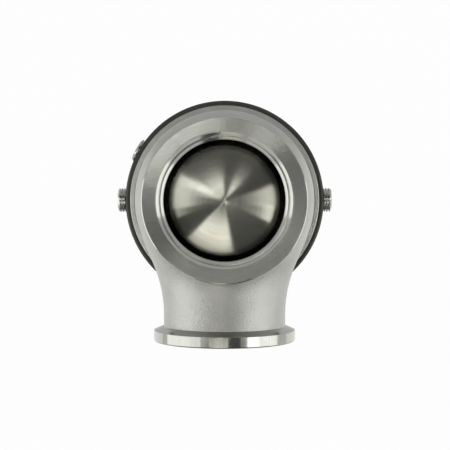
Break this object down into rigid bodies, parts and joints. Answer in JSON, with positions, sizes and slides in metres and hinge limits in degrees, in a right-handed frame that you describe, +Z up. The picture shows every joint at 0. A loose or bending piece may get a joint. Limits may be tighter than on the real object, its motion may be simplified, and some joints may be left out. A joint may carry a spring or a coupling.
{
  "type": "turbo wastegate",
  "caption": "External poppet wastegate: cast body with V-band inlet and outlet flanges, a sprung valve on a seat ring, and a water-cooled diaphragm actuator.",
  "frame": {"origin": "centre of the outlet bore at the outlet flange's face, which the gate stands on", "axes": "+Z up along the outlet's centre line; +Y along the valve axis from the inlet face to the actuator cap; +X to the right seen from the inlet"},
  "size_m": [0.1232, 0.1545, 0.1331],
  "materials": {
    "cast_stainless": "blasted investment casting with turned flange faces",
    "seat_stainless": "fine turned",
    "valve_stainless": "turned, with circular tool marks",
    "bronze": "machined bronze",
    "gasket_steel": "coated steel sheet",
    "black_anodised": "black anodised, satin",
    "cap_anodised": "black anodised, satin",
    "collar_anodised": "black anodised, turned",
    "plain_aluminium": "machined",
    "seal_rubber": "moulded",
    "diaphragm_rubber": "fabric-reinforced silicone",
    "seal_plastic": "filled fluoropolymer",
    "black_steel": "black oxide",
    "spring_steel": "shot-peened spring wire",
    "nut_steel": "zinc plated",
    "plated_steel": "bright nickel plate"
  },
  "bodies": {
    "housing": {"valve_body": "cast_stainless", "seat_ring": "seat_stainless", "valve_guide": "bronze", "body_gasket": "gasket_steel", "actuator_base": "black_anodised", "gallery_plate": "plain_aluminium", "gallery_o_ring_inner": "seal_rubber", "gallery_o_ring_outer": "seal_rubber", "base_screws": "black_steel", "stem_seal": "seal_plastic", "seal_clip": "spring_steel", "signal_port_plug": "plated_steel", "coolant_plug_left": "plated_steel", "coolant_plug_right": "plated_steel", "diaphragm": "diaphragm_rubber", "spring_outer": "spring_steel", "spring_middle": "spring_steel", "spring_inner": "spring_steel", "actuator_cap": "cap_anodised", "locking_collar": "collar_anodised", "collar_lock_screw": "black_steel", "cap_dowel_pin": "nut_steel"},
    "valve": {"valve_poppet": "valve_stainless", "diaphragm_retainer": "plain_aluminium", "piston": "plain_aluminium", "stem_washer": "nut_steel", "stem_nut": "nut_steel"}
  },
  "joints": [
    {"name": "valve_lift", "type": "slide", "parent": "housing", "child": "valve", "axis": [0, 1, 0], "range_m": [0, 0.014], "stiffness_N_per_m": 9300, "springref_m": -0.03, "deforming": ["diaphragm", "spring_outer", "spring_middle", "spring_inner"]}
  ]
}
